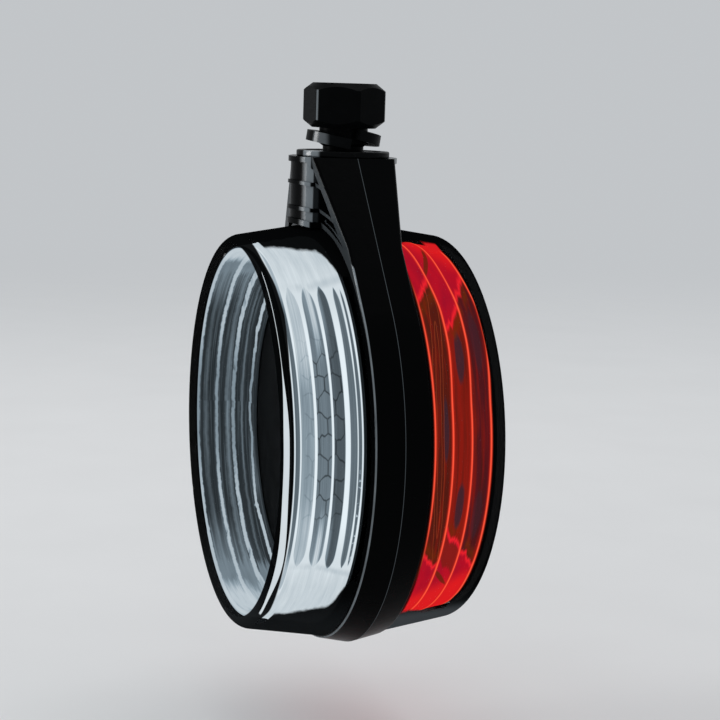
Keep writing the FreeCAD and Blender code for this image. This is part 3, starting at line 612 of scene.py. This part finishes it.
# painted dark reflection: the wall is turned black where it is seen more aslant than a limit, which the
# front cup's wall reaches sooner than the rear cup's
facing = smoked.level(smoked.node("LayerWeight", {}, {"Blend": 0.5}).outputs["Facing"])
outside = smoked.rise(radius - (lens_foot_radius - (depth - lens_foot) * lens_draft), -0.4, 0.2) \
    * smoked.rise(depth, 6.9, 7.2)
front_limit = 0.32 + smoked.rise(depth, 8.5, 12.5) * 0.18 + smoked.rise(depth, 11.0, 24.0) * 0.10 \
    + smoked.rise(depth, 23.2, 24.2) * 0.12
rear_limit = 0.665 + smoked.rise(depth, 8.0, 16.0) * 0.065 - smoked.rise(depth, 19.5, 22.5) * 0.05 \
    - smoked.rise(depth, 22.0, 24.0) * 0.08
limit = front_limit.toward(rear_limit, rear_side) + ragged.swing(0.05)
grazing_dark_reflection = smoked.rise(facing - limit, -0.018, 0.022) * outside

# the rim is painted black as shade, from a depth that wanders round each cup, and the foot is painted black
# as shade as well
hollow = 1 - smoked.rise(radius, *lens_bore)
front_rim = 24.6 + smoked.rise(z, 38.0, 45.0) * 0.6 + smoked.rise(-z, 36.0, 42.0) - z.ridge(33, 11) * 0.6
rear_rim = 22.9 + z.ridge(27, 14) * 0.6 - smoked.rise(abs(z - 5.0), 26.0, 40.0) * 1.2 \
    - smoked.rise(z, 43.5, 46.5) * 1.5 - smoked.rise(-z, 32.0, 36.5) * 1.7 \
    - smoked.rise(-z, 38.0, 43.0) * 0.8
rear_rim = rear_rim.toward(24.2, hollow)
rim_start = front_rim.toward(rear_rim, rear_side)
rim_start = 22.8 + (rim_start - 22.8) * smoked.rise(x, -4.0, 6.0)
rim_shade = smoked.rise(depth - rim_start, -0.15, 0.15) \
    * smoked.rise(radius - smoked.rise(z, 25.0, 40.0) * 0.8, *rim_inside)
foot_shade = 1 - smoked.rise(depth, 7.3, 7.9)

# the pale gleam on the round of the front rim, between two angles about the round's middle
round_turn = z.work("ARCTAN2", radius - round_radius, depth - round_depth) * (180 / math.pi)
on_round = smoked.rise(radius, 45.35, 45.5) * smoked.rise(depth, 24.15, 24.3) * (1 - rear_side)
spark_middle = 47.5 + smoked.rise(below, 5.0, 28.0) * 12.0 - smoked.rise(below, 28.0, 46.0) * 10.0
spark_half = (1 - smoked.rise(turn, 8.0, 30.0)) * (1 - smoked.rise(below, 26.0, 50.0) * 0.7) * 13.4 + 1.6
spark_ends = smoked.between(turn, -51.0, 58.0, 4.0)
spark = smoked.rise(spark_half - abs(round_turn - spark_middle), 0.0, 1.6) * on_round * spark_ends
gleam = smoked.blend(haze, grey(0.64, (0.90, 1.0, 1.06)), grey(0.76, (0.92, 1.0, 1.05)))

# red light painted on the top corner of the rear cup, above the guide, and a painted reflection that makes
# the underside paler
red_corner = smoked.rise(z, 45.2, 46.4) * smoked.between(depth, 17.4, 21.4, 1.4) * rear_side * outside
red_share = smoked.rise(red_corner, 0.0, 0.3) * (1 - rim_shade) * (1 - grazing_dark_reflection)
underside_reflection = smoked.rise(-z, 30.0, 44.0) * 0.06 + smoked.rise(-z, 37.0, 41.5) * rear_side * outside * 0.34

clear = (haze * 0.03 + 0.03 + dust * 0.12).under(0.3)
smoked.set(
    Base_Color=smoked.blend((dust * 0.4 + underside_reflection).under(1), grey(0.0025, cool), grey(0.20, cool)),
    Alpha=clear.over(red_corner).over(rim_shade * 0.994).over(foot_shade * 0.95).over(grazing_dark_reflection * 0.997).over(spark),
    Emission_Color=smoked.blend(red_share, smoked.bright(gleam, smoked.rise(spark, 0.0, 0.3)),
                                (0.68, 0.011, 0.014, 1)),
    Roughness=haze * 0.05 + 0.05)
smoked.cover(pieces["front_lens"], pieces["rear_lens"])


# Lamp boards: white solder mask over glass-fibre board, screwed to the housing's floors, with
# white and red lamp packages round the edge under the guide and small resistors further in.

mask = Finish("white_board", Specular_IOR_Level=0.4)
x, y, z = mask.where(lamp_centre)
weave = mask.noise(mask.point(x, y, z), 1.2, 4)
mask.set(Base_Color=mask.blend(weave, grey(0.55), grey(0.68)), Roughness=weave * 0.15 + 0.4)
mask.cover(pieces["front_led_board"], pieces["rear_led_board"])

for name, colour in (("front_leds", (0.95, 0.97, 1.0)), ("rear_leds", (1.0, 0.03, 0.01))):
    chip = Finish(name + "_lit", Roughness=0.3, Emission_Strength=1.5)
    x, y, z = chip.where(lamp_centre)
    gel = chip.rise(chip.noise(chip.point(x, abs(y), z), 0.9, 2), 0.3, 0.7)
    chip.set(Base_Color=chip.blend(gel, grey(0.6), grey(0.75)),
             Emission_Color=chip.blend(gel, grey(0.8, colour), grey(1.0, colour)))
    chip.cover(pieces[name])

resistor = Finish("resistor_black", Roughness=0.4)
x, y, z = resistor.where(lamp_centre)
film = resistor.noise(resistor.point(x, y, z), 2.0, 3)
resistor.set(Base_Color=resistor.blend(film, grey(0.01), grey(0.03)), Roughness=film * 0.2 + 0.3)
resistor.cover(pieces["front_resistors"], pieces["rear_resistors"])


# Covers: dished discs in dark satin plastic that hide the middles of the lamp boards.
# Their rims sit under the lips of the light guides. They are left plain.

disc = Finish("cover_dark", Specular_IOR_Level=0.015)
x, y, z = disc.where(lamp_centre)
place = disc.point(x, abs(y), z)
satin = disc.noise(place, 0.25, 4, 0.6)
disc.set(Base_Color=disc.blend(disc.rise(satin, 0.35, 0.7), grey(0.005, cool), grey(0.009, cool)),
         Roughness=satin * 0.15 + 0.5)
disc.bump(disc.noise(place, 4.0, 2), 0.00003)
disc.cover(pieces["front_centre_cover"], pieces["rear_centre_cover"])


# Driver board: green glass-fibre board on four posts inside the housing, with a supply terminal,
# a choke, three capacitors and two control chips, and pins that carry the supply to each side.

def speckled(name, low, high, scale, rough, metal=0.0):
    """A plain moulded or plated finish with fine variation."""
    plain = Finish(name, Metallic=metal)
    x, y, z = plain.where(lamp_centre)
    grain = plain.noise(plain.point(x, y, z), scale, 3)
    plain.set(Base_Color=plain.blend(grain, (*low, 1), (*high, 1)), Roughness=grain * 0.15 + rough)
    plain.bump(grain, 0.00002)
    return plain


speckled("board_green", (0.010, 0.085, 0.03), (0.018, 0.13, 0.05), 1.4, 0.35).cover(pieces["driver_board"])
speckled("terminal_grey", (0.20, 0.21, 0.22), (0.26, 0.27, 0.28), 1.8, 0.45).cover(pieces["supply_terminal"])
speckled("coil_grey", (0.05, 0.05, 0.055), (0.09, 0.09, 0.095), 2.2, 0.55).cover(pieces["driver_coil"])
speckled("capacitor_tan", (0.32, 0.22, 0.12), (0.42, 0.30, 0.17), 2.0, 0.4).cover(pieces["driver_capacitors"])
speckled("chip_black", (0.012, 0.012, 0.013), (0.03, 0.03, 0.032), 2.6, 0.5).cover(pieces["driver_chips"])
speckled("pin_brass", (0.72, 0.52, 0.22), (0.80, 0.60, 0.28), 2.4, 0.25, 1.0).cover(
    pieces["front_link_pins"], pieces["rear_link_pins"])


# Screws: zinc-plated steel with pan heads and cross recesses. Six hold the halves together, and
# eight small ones hold the lamp boards and four the driver board.

speckled("zinc", (0.55, 0.57, 0.60), (0.68, 0.70, 0.72), 1.5, 0.28, 1.0).cover(
    pieces["housing_screws"], pieces["led_board_screws"], pieces["driver_board_screws"])


# Studio: a pale floor under the hanging lamp that fades into the same pale surround, a soft strip
# to the left of the lamp's white face, a soft box overhead and a weak one behind.

floor_height, floor_radius = -0.150, 3.0
floor_fade = (350.0, 1500.0)
surround = (0.54, 0.56, 0.58)

floor_form = bmesh.new()
bmesh.ops.create_circle(floor_form, cap_ends=True, segments=96, radius=floor_radius,
                        matrix=Matrix.Translation((0, 0, floor_height)))
floor = mesh_object("studio_floor", floor_form)
paper = Finish("pale_paper", Roughness=0.9, Specular_IOR_Level=0.0)
x, y, z = paper.where()
fibre = paper.noise(paper.point(x, y, z), 0.02, 3)
paper.set(Base_Color=paper.blend(fibre, grey(0.72), grey(0.76)))
see_through = paper.node("BsdfTransparent")
mixed = paper.node("MixShader", {}, {0: paper.rise(from_axis(x, y), *floor_fade),
                                     1: paper.shader.outputs[0], 2: see_through.outputs[0]})
paper.feed(paper.tree.nodes["Material Output"].inputs["Surface"], mixed.outputs[0])
paper.cover(floor)

world = bpy.data.worlds.new("pale_surround")
bpy.context.scene.world = world
world.use_nodes = True
world.node_tree.nodes["Background"].inputs["Color"].default_value = (*surround, 1)
world.node_tree.nodes["Background"].inputs["Strength"].default_value = 1.0


def soft_box(name, direction, distance, width, height, brightness):
    """A flat lamp that looks at the middle of the lamp from a direction."""
    light = bpy.data.lights.new(name, "AREA")
    light.shape = "RECTANGLE"
    light.size = width
    light.size_y = height
    light.energy = brightness * math.pi * width * height
    holder = bpy.data.objects.new(name, light)
    holder.location = lamp_centre + Vector(direction).normalized() * distance
    holder.rotation_mode = "QUATERNION"
    holder.rotation_quaternion = (holder.location - lamp_centre).to_track_quat("Z", "Y")
    bpy.context.scene.collection.objects.link(holder)


soft_box("strip", (-0.37, -0.93, 0.12), 1.3, 0.34, 1.5, 7.0)
soft_box("overhead", (-0.1, 0.1, 1.0), 1.4, 1.0, 1.0, 1.6)
soft_box("behind", (-0.55, 0.8, 0.35), 1.6, 0.8, 0.8, 1.2)


# Camera: low on the right of the white face, looking slightly down, and rolled a little, so that
# the lamp hangs as it does in the picture that it is rebuilt from.

azimuth, elevation, roll = math.radians(71.651), math.radians(8.315), math.radians(1.762)
field_of_view = math.radians(22.204)
eye = Vector((0.431654, -0.137088, 0.014382))

back = Vector((math.sin(azimuth) * math.cos(elevation), -math.cos(azimuth) * math.cos(elevation),
               math.sin(elevation)))
level_right = Vector((math.cos(azimuth), math.sin(azimuth), 0))
level_up = back.cross(level_right)
right = level_right * math.cos(roll) + level_up * math.sin(roll)
up = level_up * math.cos(roll) - level_right * math.sin(roll)
camera = bpy.data.objects.new("camera", bpy.data.cameras.new("camera"))
camera.matrix_world = Matrix((
    (right.x, up.x, back.x, eye.x), (right.y, up.y, back.y, eye.y),
    (right.z, up.z, back.z, eye.z), (0, 0, 0, 1)))
camera.data.sensor_width = camera.data.sensor_height = 36
camera.data.angle = field_of_view
camera.data.clip_start = 0.01
bpy.context.scene.collection.objects.link(camera)
bpy.context.scene.camera = camera
bpy.context.scene.view_settings.view_transform = "Standard"
